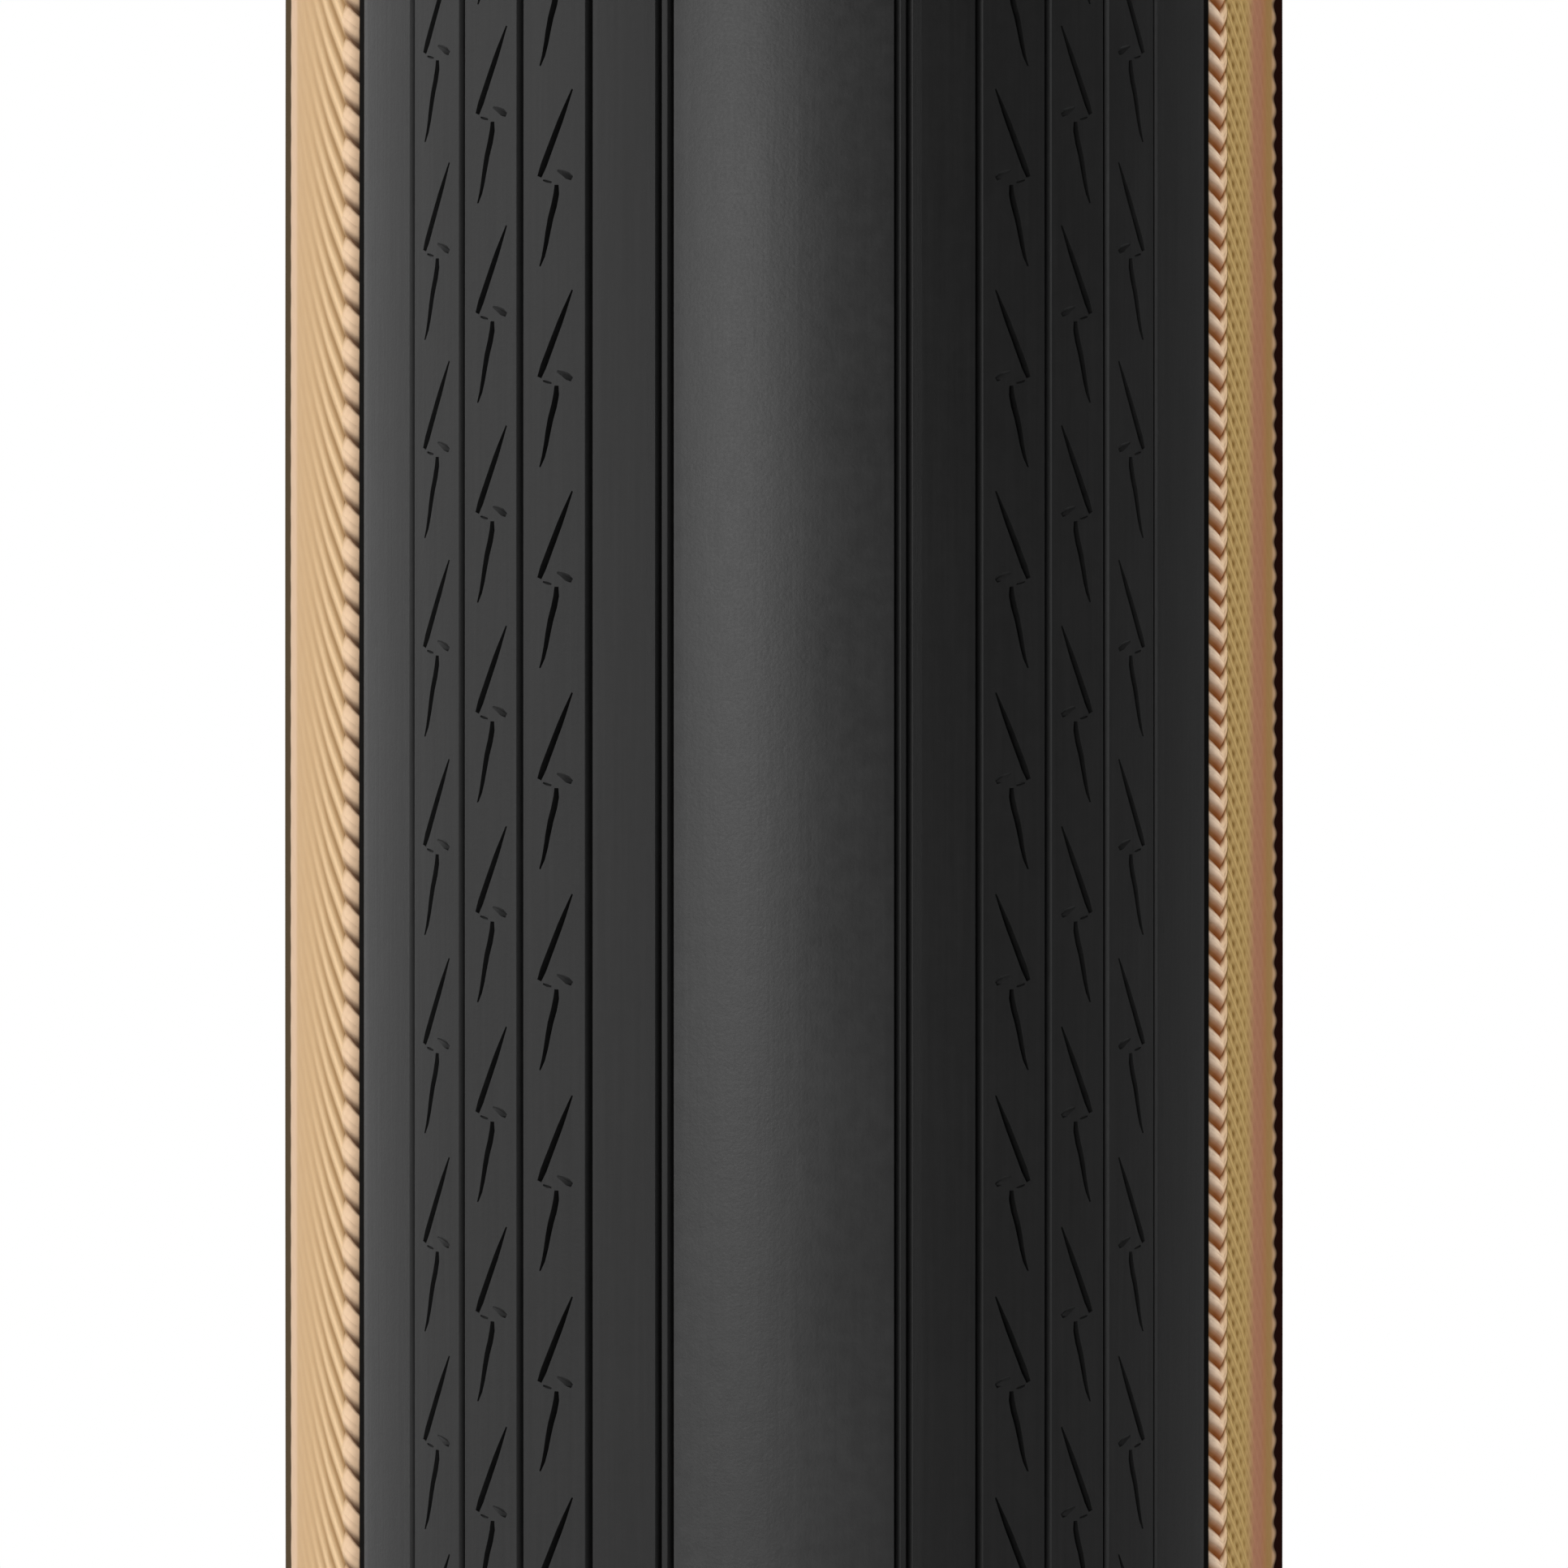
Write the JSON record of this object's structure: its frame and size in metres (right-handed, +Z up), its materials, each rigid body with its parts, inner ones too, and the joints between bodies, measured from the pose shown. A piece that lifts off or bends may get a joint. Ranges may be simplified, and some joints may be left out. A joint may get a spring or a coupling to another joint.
{
  "type": "bicycle tire",
  "caption": "Clincher bicycle tire: hollow rubber and fabric ring with grooved tread, cord-textured sidewalls and two wire beads.",
  "frame": {"origin": "centre of the tire, on the wheel's axle line and in the tread's middle plane", "axes": "+Y along the wheel's axle, towards the tire's right side; +Z up and +X across the wheel"},
  "size_m": [0.6959, 0.035, 0.696],
  "materials": {
    "tread_centre": "satin",
    "tread_rubber": "satin",
    "cushion_rubber": "matte",
    "breaker_fabric": "woven",
    "ply_fabric": "woven, rubberised",
    "sidewall_rubber": "satin, cord texture",
    "chafer_fabric": "woven",
    "filler_rubber": "matte",
    "wrap_tape": "gummed",
    "bead_wire": "brass-coated steel"
  },
  "bodies": {
    "root": {"tread_centre": "tread_centre", "tread_shoulder_left": "tread_rubber", "tread_shoulder_right": "tread_rubber", "cushion_rubber": "cushion_rubber", "breaker_strip": "breaker_fabric", "casing_ply_inner": "ply_fabric", "casing_ply_outer": "ply_fabric", "sidewall_left": "sidewall_rubber", "sidewall_right": "sidewall_rubber", "chafer_left": "chafer_fabric", "chafer_right": "chafer_fabric", "bead_filler_left": "filler_rubber", "bead_filler_right": "filler_rubber", "bead_wrap_left": "wrap_tape", "bead_wrap_right": "wrap_tape", "bead_wire_left_1": "bead_wire", "bead_wire_left_2": "bead_wire", "bead_wire_left_3": "bead_wire", "bead_wire_left_4": "bead_wire", "bead_wire_right_1": "bead_wire", "bead_wire_right_2": "bead_wire", "bead_wire_right_3": "bead_wire", "bead_wire_right_4": "bead_wire"}
  },
  "joints": []
}
